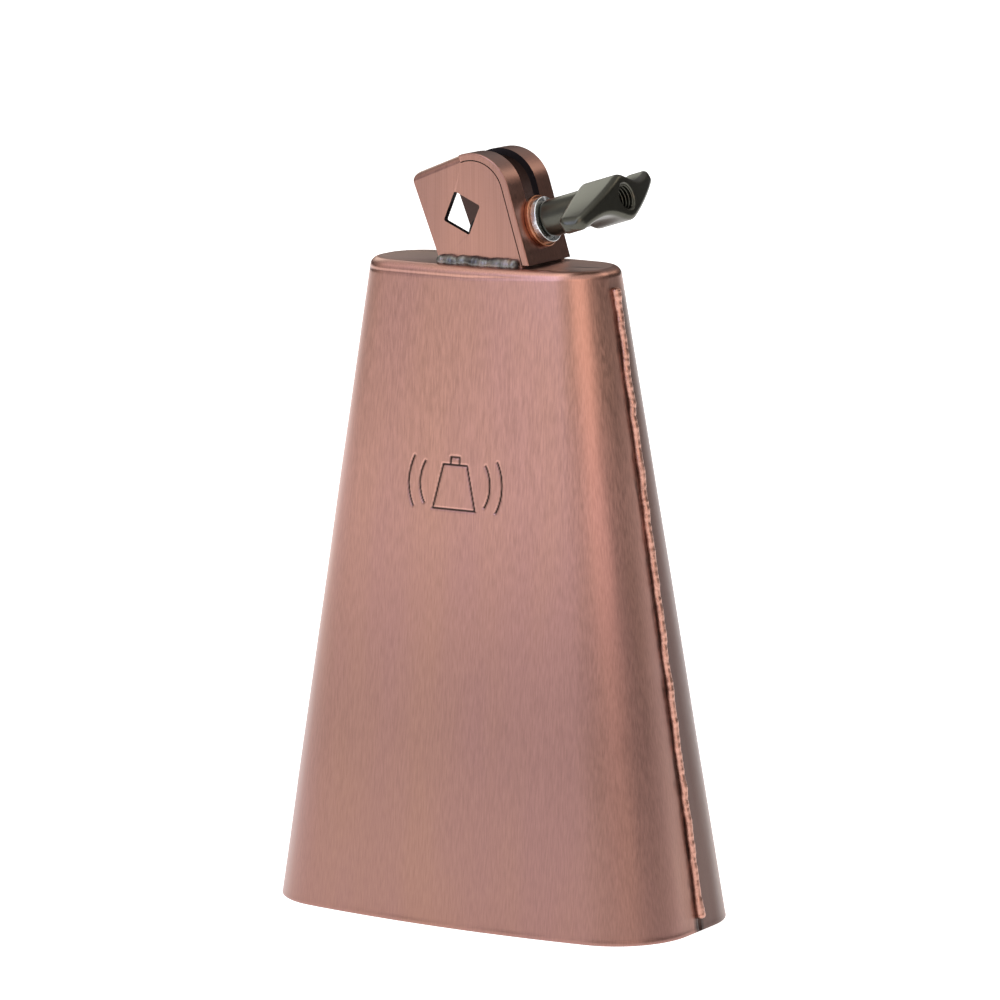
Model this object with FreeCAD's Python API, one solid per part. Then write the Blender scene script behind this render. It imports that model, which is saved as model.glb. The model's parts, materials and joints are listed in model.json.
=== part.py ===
"""Timbale cowbell with a rod clamp: one STEP file for each piece.

Millimetres, +Z up. The origin is the centre of the bell's open mouth, on the plane of its rim.
+X points to the wing nut's side and -Y to the struck front face.
"""
import FreeCAD, Part
import math
import os

V = FreeCAD.Vector

# ---- bell: one folded sheet, wide at the mouth and narrow at the closed top ----
bell_height = 216.0
wall = 1.6                  # thickness of the sheet
mouth_half_width = 77.0
mouth_half_depth = 38.5
mouth_corner = 26.0         # radius of the rounded vertical corners at the mouth
mouth_bow = 3.0             # how far the front and back faces bulge at the mouth
top_half_width = 44.8
top_half_depth = 18.0
top_corner = 14.5
top_bow = 1.7
top_fold = 2.6              # outside radius where the sheet folds over the top

# ---- side seams: a weld bead in the middle of each side ----
seam_radius = 1.45          # radius of the round bead
seam_proud = 0.45           # how far the bead's centre line stands out of the side face
seam_top_gap = 6.0          # from the closed top down to the bead's end
seam_rim_gap = 4.0          # from the rim up to the bead's end

# ---- bracket: a stamped sheet, leaning back over the top of the bell ----
bracket_half_depth = 13.0   # from the middle to the outside of each cheek
bracket_sheet = 2.3
cheek_lean = 21.5           # degrees: slope of the top flange, lean of the left edge and turn of the rod hole
flange_height = 35.1        # from the bell's top to the flange's outside, square to the flange
cheek_left = 11.9           # from the middle to the cheek's left edge, along the flange
cheek_corner = 3.0          # round corner between the left edge and the flange
wall_lean = 17.0            # degrees: lean of the front wall, and of the bolt square to it
wall_face = 20.5            # from the middle to the wall's outside, along the bolt
crown_radius = 14.3         # outside radius where the flange runs over into the wall
fold_radius = 2.6           # outside radius of the fold from the flange into each cheek
cheek_gap = 0.35            # between the wall's inside and the cheek's rounded edge
wall_foot_gap = 1.0         # between the wall's lower edge and the bell
edge_round = 0.5            # break on the wall's long outer edges

# ---- rod hole: a square on its corner in each cheek ----
rod_diameter = 9.5          # the rod that the clamp is made for
rod_hole_play = 1.2         # the square hole is this much wider than the rod
rod_hole_corner = 0.7
rod_hole_x = -4.4
rod_over_bolt = 9.6         # from the bolt's axis up to the hole's centre

# ---- bolt, seen along its own axis: "reach" is along the bolt, "rise" is along the slot ----
thread_size = 8.0
shank_play = 0.1            # the plain shank is this much thinner than the thread's size
thread_depth = 0.45         # threads are modelled as plain cylinders, this far under the size on the radius
thread_clearance = 0.05     # between the bolt's and the nut's plain cylinders, on the radius
slot_clearance = 0.5        # each side of the bolt
slot_past_crown = 7.0       # how far the slot runs on into the flange
eye_play = 1.1              # the eye's bore is this much wider than the rod
eye_wall = 2.1
eye_gap = 0.7               # from the eye down to the bell's top, square to the bolt
eye_thickness = 8.0
eye_reach = 1.6             # from the bracket's middle to the eye's centre when the nut is slack
plain_shank = 14.0          # from the eye's centre to the start of the thread
bolt_length = 42.0          # from the eye's centre to the end of the thread
bolt_end_bevel = 0.8
eye_bevel = 0.9

# ---- washers and wing nut, stacked outwards from the wall ----
flat_washer_outside = 17.2
flat_washer_thickness = 1.6
lock_washer_outside = 15.2
lock_washer_thickness = 2.2
washer_play = 0.4           # the washers' bore is this much wider than the thread's size
lock_gap = 1.2              # width of the split in the spring washer
lock_gap_slant = 25.0       # degrees that the split is cut across
washer_round = 0.3
nut_shank_diameter = 12.3
nut_shank_length = 16.0     # from the washer to the start of the wings
nut_shank_round = 1.3
wing_length = 15.2          # of the hub with the wings, along the bolt
wing_half_span = 25.0
wing_hub_radius = 7.8
wing_offset = 8.8           # from the axis to the outer side of a tip, at the tip's back
wing_taper = 7.0            # degrees that the outer sides close in towards the open end
wing_inner = 3.6            # from the axis to the inner side of a tip
wing_tip_front = 4.6        # how far the tips fall back behind the hub's end face
wing_tip_back = 11.7        # from the hub's end face to the back of the tips
wing_turn = 25.5            # degrees that the wings are turned at rest
wing_round = 1.1
wing_dip = 2.4              # how far each wing's hollow side comes inside a straight line
wing_arch = 0.56            # share of the tips' fall-back that is left halfway along a wing
thread_relief = 0.6         # countersink at the nut's open end

# ---- bracket welds: a fillet bead along the foot of each cheek ----
foot_weld_leg = 3.1
foot_weld_bulge = 0.62      # how far the bead's face stands out at 45 degrees, as a share of the leg
foot_weld_past = 1.8        # how far it runs on past the cheek's left edge
foot_weld_short = 3.4       # how far it stops short of the wall's outside

# ---- fits worked out from the rod and the thread ----
rod_hole_side = rod_diameter + rod_hole_play
eye_bore = rod_diameter + eye_play
eye_outside = eye_bore + 2 * eye_wall
bolt_rise = eye_outside / 2 + eye_gap   # height of the axis over the top's middle, in the slot's lower end
shank_diameter = thread_size - shank_play
thread_diameter = thread_size - 2 * thread_depth
washer_bore = thread_size + washer_play

CUT = 60.0                  # reach of a cutting tool that goes right through
OVER = 1.0                  # how far a cutter passes a face


def shift(shape, x, y, z):
    shape.translate(V(x, y, z))
    return shape


def rounded_section(half_width, half_depth, corner, bow, z):
    """Rounded rectangle with bowed front and back, as one closed wire of eight edges."""
    flat = half_width - corner
    edge_y = half_depth - bow
    mid_y = edge_y - corner
    diagonal = corner * math.sqrt(0.5)
    edges = []
    for side in (1, -1):
        start = V(side * flat, -side * edge_y, z)
        outer = V(side * half_width, -side * mid_y, z)
        middle = V(side * (flat + diagonal), -side * (mid_y + diagonal), z)
        edges.append(Part.Arc(start, middle, outer).toShape())
        far = V(side * half_width, side * mid_y, z)
        edges.append(Part.LineSegment(outer, far).toShape())
        middle = V(side * (flat + diagonal), side * (mid_y + diagonal), z)
        end = V(side * flat, side * edge_y, z)
        edges.append(Part.Arc(far, middle, end).toShape())
        crown = V(0, side * half_depth, z)
        edges.append(Part.Arc(end, crown, V(-side * flat, side * edge_y, z)).toShape())
    return Part.Wire(edges)


def bell_section(z, inset=0.0):
    """Section of the bell at height z, drawn in by inset all round."""
    part_up = z / bell_height
    half_width = mouth_half_width + (top_half_width - mouth_half_width) * part_up
    half_depth = mouth_half_depth + (top_half_depth - mouth_half_depth) * part_up
    corner = mouth_corner + (top_corner - mouth_corner) * part_up
    bow = mouth_bow + (top_bow - mouth_bow) * part_up
    return rounded_section(half_width - inset, half_depth - inset, corner - inset, bow, z)


def side_lean():
    """Lean of the bell's sides from upright, in radians."""
    return math.atan2(mouth_half_width - top_half_width, bell_height)


def bell_outside():
    return Part.makeLoft([bell_section(0), bell_section(bell_height)], True, True)


def top_edges(solid, z):
    return [edge for edge in solid.Edges if all(abs(point.Point.z - z) < 1e-6 for point in edge.Vertexes)]


def make_bell():
    outside = bell_outside()
    outside = outside.makeFillet(top_fold, top_edges(outside, bell_height))
    side_wall = wall / math.cos(side_lean())
    ceiling = bell_height - wall
    inside = Part.makeLoft([bell_section(-OVER, side_wall), bell_section(ceiling, side_wall)], True, True)
    inner_fold = top_fold - wall
    inside = inside.makeFillet(inner_fold, top_edges(inside, ceiling))
    return outside, outside.cut(inside)


def make_side_weld(side):
    """Round bead along the middle of one side, with round ends."""
    low = seam_rim_gap
    high = bell_height - seam_top_gap
    rise = V(top_half_width - mouth_half_width, 0, bell_height)
    out = V(math.cos(side_lean()), 0, math.sin(side_lean())) * seam_proud
    start = V(mouth_half_width, 0, 0) + rise * (low / bell_height) + out
    end = V(mouth_half_width, 0, 0) + rise * (high / bell_height) + out
    bead = Part.makeCylinder(seam_radius, (end - start).Length, start, end - start)
    bead = bead.fuse([Part.makeSphere(seam_radius, start), Part.makeSphere(seam_radius, end)])
    if side < 0:
        bead = bead.mirror(V(0, 0, 0), V(1, 0, 0))
    return bead.removeSplitter()


# ---- the bolt's own frame: X along the bolt, Z up the slot, from the middle of the bell's top ----
def along_bolt(shape, rise=0.0):
    """Place a shape that is drawn with the bolt along +X and the slot along +Z."""
    lean = FreeCAD.Rotation(V(0, 1, 0), -wall_lean)
    origin = V(0, 0, bell_height) + lean.multVec(V(0, 0, rise))
    shape.Placement = FreeCAD.Placement(origin, lean).multiply(shape.Placement)
    return shape


def in_plane(reach, height, lean_degrees):
    """Point of the upright middle plane: reach and height are square to each other, leaning back."""
    lean = math.radians(lean_degrees)
    x = reach * math.cos(lean) - height * math.sin(lean)
    z = reach * math.sin(lean) + height * math.cos(lean)
    return V(x, 0, bell_height + z)


def crossing(flange, wall_distance):
    """Point that lies flange above the top, square to the flange, and wall_distance out along the bolt."""
    a = math.radians(cheek_lean)
    b = math.radians(wall_lean)
    spread = math.cos(a) * math.cos(b) + math.sin(a) * math.sin(b)
    x = (wall_distance * math.cos(a) - flange * math.sin(b)) / spread
    z = (wall_distance * math.sin(a) + flange * math.cos(b)) / spread
    return V(x, 0, bell_height + z)


def crown_centre():
    return crossing(flange_height - crown_radius, wall_face - crown_radius)


def crown_point(radius, degrees):
    """Point on a circle about the crown's centre, from +X towards +Z."""
    turn = math.radians(degrees)
    return crown_centre() + V(radius * math.cos(turn), 0, radius * math.sin(turn))


def wall_foot(distance, height):
    """Point at a height over the bell's top on the plane that lies distance out along the bolt."""
    lean = math.radians(wall_lean)
    return V((distance - height * math.sin(lean)) / math.cos(lean), 0, bell_height + height)


def prism(points_and_arcs, half_depth):
    """Plate between -half_depth and +half_depth from a list of points; a pair (middle, end) is an arc."""
    edges = []
    first = points_and_arcs[0]
    last = first
    for item in points_and_arcs[1:] + [first]:
        if isinstance(item, tuple):
            edges.append(Part.Arc(last, item[0], item[1]).toShape())
            last = item[1]
        else:
            edges.append(Part.LineSegment(last, item).toShape())
            last = item
    face = Part.Face(Part.Wire(edges))
    face.translate(V(0, -half_depth, 0))
    return face.extrude(V(0, 2 * half_depth, 0))


def crown_arc(radius):
    """Middle and end of the arc from the flange down to the wall."""
    middle = (90 + cheek_lean + wall_lean) / 2
    return crown_point(radius, middle), crown_point(radius, wall_lean)


def crown_band(half_depth, inner_radius, outer_distance, foot_height):
    """Bent band from the start of the crown down the wall, between two radii about the crown's centre."""
    thickness = crown_radius - inner_radius
    start_inner = crown_point(inner_radius, 90 + cheek_lean)
    return prism(
        [
            crown_point(crown_radius, 90 + cheek_lean),
            crown_arc(crown_radius),
            wall_foot(outer_distance, foot_height),
            wall_foot(outer_distance - thickness, foot_height),
            crown_point(inner_radius, wall_lean),
            (crown_arc(inner_radius)[0], start_inner),
        ],
        half_depth,
    )


def make_crown():
    """Crown and wall: the flange's sheet runs on over the top and down the front of the bolt."""
    band = crown_band(bracket_half_depth, crown_radius - bracket_sheet, wall_face, wall_foot_gap)
    outer = [edge for edge in band.Edges if on_outer_side(edge)]
    return band.makeFillet(edge_round, outer)


def on_outer_side(edge):
    """True on the crown's and the wall's outer edges, at the front or at the rear."""
    points = [edge.valueAt(edge.FirstParameter), edge.valueAt(edge.LastParameter), edge.CenterOfMass]
    if any(abs(abs(point.y) - bracket_half_depth) > 1e-6 for point in points):
        return False
    distance = V(math.cos(math.radians(wall_lean)), 0, math.sin(math.radians(wall_lean)))
    on_wall = all(abs((point - V(0, 0, bell_height)).dot(distance) - wall_face) < 1e-6 for point in points[:2])
    on_crown = all(abs((point.sub(V(0, point.y, 0)) - crown_centre()).Length - crown_radius) < 1e-6
                   for point in points[:2])
    return on_wall or on_crown


def make_channel():
    """Flange and cheeks as one folded sheet, up to the start of the crown."""
    start = crown_point(crown_radius, 90 + cheek_lean)
    corner = in_plane(-cheek_left, flange_height, cheek_lean)
    block = prism([cheek_foot(), corner, start, fold_foot()], bracket_half_depth)
    along = in_plane(1, 0, cheek_lean) - in_plane(0, 0, cheek_lean)
    square = in_plane(0, 1, cheek_lean) - in_plane(0, 0, cheek_lean)
    block = block.makeFillet(fold_radius, edges_along(block, along, is_fold))
    inner = prism(
        [
            cheek_foot() - along * CUT - square * CUT,
            corner - along * CUT - square * bracket_sheet,
            start + along * CUT - square * bracket_sheet,
            fold_foot() + along * CUT - square * CUT,
        ],
        bracket_half_depth - bracket_sheet,
    )
    inner = inner.makeFillet(fold_radius - bracket_sheet, [edge for edge in inner.Edges if is_inner_fold(edge)])
    outline = prism(
        [
            cheek_foot(),
            corner - square * cheek_corner,
            (corner + along * (cheek_corner * (1 - math.sqrt(0.5))) - square * (cheek_corner * (1 - math.sqrt(0.5))),
             corner + along * cheek_corner),
            start,
            fold_foot(),
        ],
        bracket_half_depth,
    )
    return block.cut(inner).common(outline)


def make_cheek_ends():
    """The rounded part of both cheeks, which stops short of the crown and the wall."""
    edge_radius = crown_radius - bracket_sheet - cheek_gap
    plate = prism(
        [
            fold_foot(),
            crown_point(edge_radius, 90 + cheek_lean),
            crown_arc(edge_radius),
            wall_foot(wall_face - bracket_sheet - cheek_gap, 0),
        ],
        bracket_half_depth,
    )
    hollow_half = bracket_half_depth - bracket_sheet
    return plate.cut(Part.makeBox(2 * CUT, 2 * hollow_half, 2 * CUT, V(-CUT, -hollow_half, bell_height - CUT)))


def fold_foot():
    """Point of the bell's top that lies square under the start of the crown."""
    centre = crown_centre()
    height = centre.z - bell_height
    return V(centre.x + height * math.tan(math.radians(cheek_lean)), 0, bell_height)


def cheek_foot():
    """Lower left corner of the cheek, where its left edge meets the bell's top."""
    lean = math.radians(cheek_lean)
    return V(-cheek_left / math.cos(lean), 0, bell_height)


def edges_along(shape, direction, test):
    """Straight edges that run along a direction and whose middle passes a test."""
    chosen = []
    for edge in shape.Edges:
        if edge.Curve.TypeId != "Part::GeomLine":
            continue
        if abs(abs(edge.tangentAt(edge.FirstParameter).dot(direction)) - 1) > 1e-6:
            continue
        if test(edge.CenterOfMass):
            chosen.append(edge)
    return chosen


def slot_tool():
    """Cutter for the slot: round lower end on the bolt, up the wall and over the crown into the flange."""
    half = shank_diameter / 2 + slot_clearance
    lower = Part.makeCylinder(half, CUT, V(0, 0, 0), V(1, 0, 0))
    up_wall = Part.makeBox(CUT, 2 * half, CUT, V(0, -half, 0))
    tool = along_bolt(lower.fuse(up_wall), bolt_rise)
    start = crown_point(crown_radius, 90 + cheek_lean)
    along = in_plane(1, 0, cheek_lean) - in_plane(0, 0, cheek_lean)
    square = in_plane(0, 1, cheek_lean) - in_plane(0, 0, cheek_lean)
    end = start - along * slot_past_crown
    round_end = Part.makeCylinder(half, 4 * bracket_sheet, end - square * 2 * bracket_sheet, square)
    inner = crown_radius - 2 * bracket_sheet
    over = prism(
        [
            end + square * bracket_sheet,
            start + square * bracket_sheet,
            in_plane(CUT, flange_height + bracket_sheet, cheek_lean),
            crown_centre() + V(CUT, 0, 0),
            crown_centre(),
            crown_centre() + square * inner,
            end - square * (2 * bracket_sheet),
        ],
        half,
    )
    return tool.fuse([round_end, over])


def rod_hole_tool():
    """Square bar on its corner, with rounded corners, right through both cheeks."""
    half = rod_hole_side / 2
    bar = Part.makeBox(rod_hole_side, 2 * CUT, rod_hole_side, V(-half, -CUT, -half))
    bar = bar.makeFillet(rod_hole_corner, edges_along(bar, V(0, 1, 0), lambda middle: True))
    bar.rotate(V(0, 0, 0), V(0, 1, 0), 45 - cheek_lean)
    return shift(bar, rod_hole_x, 0, rod_height())


def rod_height():
    """Height of the rod hole's centre, over the point of the bolt's axis that is under it."""
    axis = in_plane(0, bolt_rise, wall_lean)
    return axis.z + (rod_hole_x - axis.x) * math.tan(math.radians(wall_lean)) + rod_over_bolt


def make_bracket():
    bracket = make_channel().fuse([make_crown(), make_cheek_ends()])
    return bracket.cut(slot_tool()).cut(rod_hole_tool()).removeSplitter()


def is_fold(middle):
    """True on the outer long edges of the flange, over the cheeks."""
    on_side = abs(abs(middle.y) - bracket_half_depth) < 1e-6
    lean = math.radians(cheek_lean)
    height = -middle.x * math.sin(lean) + (middle.z - bell_height) * math.cos(lean)
    return on_side and abs(height - flange_height) < 1e-6


def is_inner_fold(edge):
    """True on the two long edges under the flange."""
    middle = edge.CenterOfMass
    on_side = abs(abs(edge.valueAt(edge.FirstParameter).y) - bracket_half_depth + bracket_sheet) < 1e-6
    lean = math.radians(cheek_lean)
    height = -middle.x * math.sin(lean) + (middle.z - bell_height) * math.cos(lean)
    return on_side and abs(middle.y) > OVER and abs(height - flange_height + bracket_sheet) < 1e-6


def make_foot_weld(side, bell, bracket):
    """Fillet bead along the foot of one cheek."""
    foot = bracket_half_depth
    under = foot - OVER
    out = foot + foot_weld_leg
    bulge = foot_weld_leg * foot_weld_bulge
    left = cheek_foot().x - foot_weld_past
    right = wall_foot(wall_face, 0).x - foot_weld_short
    low = bell_height - foot_weld_leg / 2
    high = bell_height + foot_weld_leg
    edges = [
        Part.LineSegment(V(left, under, low), V(left, under, high)).toShape(),
        Part.LineSegment(V(left, under, high), V(left, foot, high)).toShape(),
        Part.Arc(V(left, foot, high), V(left, foot + bulge, bell_height + bulge), V(left, out, bell_height)).toShape(),
        Part.LineSegment(V(left, out, bell_height), V(left, out, low)).toShape(),
        Part.LineSegment(V(left, out, low), V(left, under, low)).toShape(),
    ]
    bead = Part.Face(Part.Wire(edges)).extrude(V(right - left, 0, 0))
    inside = Part.makeBox(2 * CUT, foot, CUT, V(-CUT, 0, bell_height - CUT / 2))
    bead = bead.cut(inside)
    if side < 0:
        bead = bead.mirror(V(0, 0, 0), V(0, 1, 0))
    return bead.cut(bell).cut(bracket)


def ring(outside, bore, start, thickness):
    """Washer about the bolt, with its broad edges broken."""
    disc = Part.makeCylinder(outside / 2, thickness, V(start, 0, 0), V(1, 0, 0))
    disc = disc.makeFillet(washer_round, [edge for edge in disc.Edges if edge.Closed])
    return disc.cut(Part.makeCylinder(bore / 2, thickness, V(start, 0, 0), V(1, 0, 0)))


def make_flat_washer():
    return along_bolt(ring(flat_washer_outside, washer_bore, wall_face, flat_washer_thickness), bolt_rise)


def make_lock_washer():
    start = wall_face + flat_washer_thickness
    washer = ring(lock_washer_outside, washer_bore, start, lock_washer_thickness)
    split = Part.makeBox(CUT, lock_gap, CUT, V(-CUT / 2, -lock_gap / 2, 0))
    split.rotate(V(0, 0, 0), V(0, 0, 1), lock_gap_slant)
    shift(split, start + lock_washer_thickness / 2, 0, 0)
    return along_bolt(washer.cut(split), bolt_rise)


def make_eyebolt():
    """Bolt with a round eye for the rod. The eye's bore runs across, along Y."""
    half = eye_thickness / 2
    eye = Part.makeCylinder(eye_outside / 2, eye_thickness, V(0, -half, 0), V(0, 1, 0))
    shank = Part.makeCylinder(shank_diameter / 2, plain_shank, V(0, 0, 0), V(1, 0, 0))
    shank = shank.common(Part.makeBox(CUT, eye_thickness, CUT, V(0, -half, -CUT / 2)))
    thread = Part.makeCylinder(thread_diameter / 2, bolt_length, V(0, 0, 0), V(1, 0, 0))
    thread = thread.makeChamfer(bolt_end_bevel, [edge for edge in thread.Edges if is_bolt_end(edge)])
    eye = eye.makeChamfer(eye_bevel, [edge for edge in eye.Edges if edge.Closed])
    bore = Part.makeCylinder(eye_bore / 2, 2 * eye_thickness, V(0, -eye_thickness, 0), V(0, 1, 0))
    bolt = eye.fuse([shank, thread]).cut(bore)
    return along_bolt(shift(bolt, eye_reach, 0, 0), bolt_rise)


def is_bolt_end(edge):
    return edge.Closed and abs(edge.CenterOfMass.x - bolt_length) < 1e-6


def wing_plan(x):
    """Section across both wings at a distance x along the nut, half a turn alike."""
    tip_back = nut_shank_length + wing_length - wing_tip_back
    offset = wing_offset - (x - tip_back) * math.tan(math.radians(wing_taper))
    edges = []
    for turn in (1, -1):
        tip_outer = V(x, turn * wing_half_span, -turn * offset)
        tip_inner = V(x, turn * wing_half_span, -turn * wing_inner)
        crest = V(x, 0, turn * wing_hub_radius)
        next_tip = V(x, -turn * wing_half_span, turn * offset)
        halfway = (tip_inner + crest) * 0.5 - V(0, 0, turn * wing_dip)
        edges.append(Part.LineSegment(tip_outer, tip_inner).toShape())
        edges.append(Part.Arc(tip_inner, halfway, crest).toShape())
        edges.append(Part.LineSegment(crest, next_tip).toShape())
    return Part.Wire(edges)


def wing_profile():
    """Side view of the wings: X is along the bolt, Y the span. Drawn at Z = 0."""
    back = nut_shank_length
    front = back + wing_length
    tip_back = front - wing_tip_back
    tip_front = front - wing_tip_front
    shoulder = wing_hub_radius
    rise = tip_front + (front - tip_front) * wing_arch
    edges = [
        Part.LineSegment(V(back, -shoulder, 0), V(back, shoulder, 0)).toShape(),
        Part.LineSegment(V(back, shoulder, 0), V(tip_back, wing_half_span, 0)).toShape(),
        Part.LineSegment(V(tip_back, wing_half_span, 0), V(tip_front, wing_half_span, 0)).toShape(),
        Part.Arc(V(tip_front, wing_half_span, 0), V(rise, wing_half_span / 2, 0), V(front, 0, 0)).toShape(),
        Part.Arc(V(front, 0, 0), V(rise, -wing_half_span / 2, 0), V(tip_front, -wing_half_span, 0)).toShape(),
        Part.LineSegment(V(tip_front, -wing_half_span, 0), V(tip_back, -wing_half_span, 0)).toShape(),
        Part.LineSegment(V(tip_back, -wing_half_span, 0), V(back, -shoulder, 0)).toShape(),
    ]
    return Part.Wire(edges)


def nut_start():
    return wall_face + flat_washer_thickness + lock_washer_thickness


def make_wing_nut():
    length = nut_shank_length + wing_length
    plan = Part.makeLoft([wing_plan(nut_shank_length - OVER), wing_plan(length + OVER)], True, True)
    side = shift(Part.Face(wing_profile()), 0, 0, -CUT / 2).extrude(V(0, 0, CUT))
    wings = plan.common(side)
    wings = wings.makeFillet(wing_round, wings.Edges)
    shank = Part.makeCylinder(nut_shank_diameter / 2, length - wing_round, V(0, 0, 0), V(1, 0, 0))
    shank = shank.makeFillet(nut_shank_round, [edge for edge in shank.Edges if edge.Closed and is_start(edge)])
    nut = wings.fuse(shank)
    bore_radius = thread_diameter / 2 + thread_clearance
    nut = nut.cut(Part.makeCylinder(bore_radius, length + OVER, V(0, 0, 0), V(1, 0, 0)))
    cone = Part.makeCone(bore_radius, bore_radius + thread_relief + OVER, thread_relief + OVER,
                         V(length - thread_relief, 0, 0), V(1, 0, 0))
    nut = nut.cut(cone)
    nut.rotate(V(0, 0, 0), V(1, 0, 0), wing_turn)
    return along_bolt(shift(nut, nut_start(), 0, 0), bolt_rise)


def is_start(edge):
    return abs(edge.CenterOfMass.x) < 1e-6


bell_solid, bell_shell = make_bell()
bracket = make_bracket()
welds = {"side_weld_right": make_side_weld(1), "side_weld_left": make_side_weld(-1)}
for bead in welds.values():
    bell_shell = bell_shell.cut(bead)

nodes = {
    "bell_shell": bell_shell,
    "bracket": bracket,
    "bracket_weld_front": make_foot_weld(-1, bell_solid, bracket),
    "bracket_weld_rear": make_foot_weld(1, bell_solid, bracket),
    "eyebolt": make_eyebolt(),
    "flat_washer": make_flat_washer(),
    "lock_washer": make_lock_washer(),
    "wing_nut": make_wing_nut(),
}
nodes.update(welds)

os.makedirs("parts", exist_ok=True)
for name, shape in nodes.items():
    solids = shape.Solids
    if len(solids) != 1 or not shape.isValid():
        print("check", name, "solids", len(solids), "valid", shape.isValid())
    solids[0].exportStep("parts/" + name + ".step")
    box = shape.BoundBox
    print(name, "volume", round(shape.Volume), "x", round(box.XMin, 1), round(box.XMax, 1),
          "y", round(box.YMin, 1), round(box.YMax, 1), "z", round(box.ZMin, 1), round(box.ZMax, 1))
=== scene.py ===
import json
import math

import bmesh
import bpy
import numpy as np
from mathutils import Matrix, Vector, noise


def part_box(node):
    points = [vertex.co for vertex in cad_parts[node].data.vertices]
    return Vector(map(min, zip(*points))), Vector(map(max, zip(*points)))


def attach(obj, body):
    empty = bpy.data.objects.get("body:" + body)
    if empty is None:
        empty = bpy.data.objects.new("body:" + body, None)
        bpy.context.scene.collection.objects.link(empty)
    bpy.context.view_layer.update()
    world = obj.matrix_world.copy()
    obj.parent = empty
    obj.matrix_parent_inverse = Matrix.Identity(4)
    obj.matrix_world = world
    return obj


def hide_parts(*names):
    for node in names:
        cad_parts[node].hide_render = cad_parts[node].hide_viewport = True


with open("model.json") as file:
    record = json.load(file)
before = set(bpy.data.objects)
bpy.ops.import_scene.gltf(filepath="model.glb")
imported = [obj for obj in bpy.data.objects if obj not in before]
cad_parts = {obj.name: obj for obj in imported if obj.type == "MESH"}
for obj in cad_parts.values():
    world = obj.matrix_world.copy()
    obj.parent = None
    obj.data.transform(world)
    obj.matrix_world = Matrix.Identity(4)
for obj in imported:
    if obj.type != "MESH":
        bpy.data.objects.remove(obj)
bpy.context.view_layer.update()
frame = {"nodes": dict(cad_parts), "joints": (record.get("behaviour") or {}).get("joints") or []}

MM = 0.001
scene = bpy.context.scene


# ---- Studio ----
# A white matt floor, six soft lights round the bell and above, and a room that is palest in front
# and overhead. A long lens stands to the right of the front face, a little above the bell.
view_azimuth = math.radians(32.549)
view_elevation = math.radians(9.838)
view_roll = math.radians(-0.5945)
view_distance = 1.909
view_aside = 0.48 * MM
view_raise = 27.975 * MM
lens_mm = 208.0
floor_half = 14.0


def toward(azimuth, elevation):
    """Unit vector from the bell: azimuth 0 is the front, 90 degrees is the wing nut's side."""
    flat = math.cos(elevation)
    return Vector((math.sin(azimuth) * flat, -math.cos(azimuth) * flat, math.sin(elevation)))


def colour(hex_code):
    """Linear RGBA of an sRGB hex colour."""
    parts = [int(hex_code[i:i + 2], 16) / 255 for i in (1, 3, 5)]
    return [p / 12.92 if p <= 0.04045 else ((p + 0.055) / 1.055) ** 2.4 for p in parts] + [1.0]


def add(tree, kind, inputs=None, **settings):
    """Adds a node with its settings; an input is a value, or the output or node that feeds it."""
    made = tree.nodes.new(kind)
    for name, value in settings.items():
        setattr(made, name, value)
    for key, value in (inputs or {}).items():
        if isinstance(value, bpy.types.Node):
            value = value.outputs[0]
        if isinstance(value, bpy.types.NodeSocket):
            tree.links.new(value, made.inputs[key])
        else:
            made.inputs[key].default_value = value
    return made


def new_material(name):
    """A material with an empty tree, and that tree."""
    material = bpy.data.materials.new(name)
    material.use_nodes = True
    material.node_tree.nodes.clear()
    return material, material.node_tree


def new_piece(name, points, faces):
    """Mesh object at the origin, with its place in its points."""
    mesh = bpy.data.meshes.new(name)
    mesh.from_pydata([tuple(p) for p in points], [], faces)
    mesh.update()
    piece = bpy.data.objects.new(name, mesh)
    scene.collection.objects.link(piece)
    return piece


middle = Vector((0, 0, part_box("bell_shell")[1].z / 2))
back = toward(view_azimuth, view_elevation)
level_right = Vector((math.cos(view_azimuth), math.sin(view_azimuth), 0))
level_up = back.cross(level_right)
cos_roll, sin_roll = math.cos(view_roll), math.sin(view_roll)
right = cos_roll * level_right + sin_roll * level_up
up = cos_roll * level_up - sin_roll * level_right
camera = bpy.data.objects.new("camera", bpy.data.cameras.new("camera"))
camera.data.lens = lens_mm
camera.data.clip_end = 100.0
camera.matrix_world = Matrix((right, up, back)).transposed().to_4x4()
camera.location = middle + back * view_distance + right * view_aside + up * view_raise
scene.collection.objects.link(camera)
scene.camera = camera
scene.view_settings.view_transform = "Standard"

corners = [(-floor_half, -floor_half, 0), (floor_half, -floor_half, 0),
           (floor_half, floor_half, 0), (-floor_half, floor_half, 0)]
floor = new_piece("floor", corners, [(0, 1, 2, 3)])
matt_white, tree = new_material("matt_white_floor_paint")
paint = add(tree, "ShaderNodeBsdfPrincipled", {"Base Color": colour("#F4F4F4"), "Roughness": 0.9,
                                               "Emission Color": colour("#FFFFFF"),
                                               "Emission Strength": 0.78})
add(tree, "ShaderNodeOutputMaterial", {"Surface": paint})
floor.data.materials.append(matt_white)


def softbox(name, azimuth, elevation, distance, width, height, watts, tint):
    """Rectangular soft light that faces the bell's middle."""
    light = bpy.data.lights.new(name, "AREA")
    light.shape = "RECTANGLE"
    light.size = width
    light.size_y = height
    light.energy = watts
    light.color = colour(tint)[:3]
    lamp = bpy.data.objects.new(name, light)
    away = toward(math.radians(azimuth), math.radians(elevation))
    turned = away.to_track_quat("Z", "Y").to_matrix().to_4x4()
    lamp.matrix_world = Matrix.Translation(middle + away * distance) @ turned
    scene.collection.objects.link(lamp)


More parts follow.
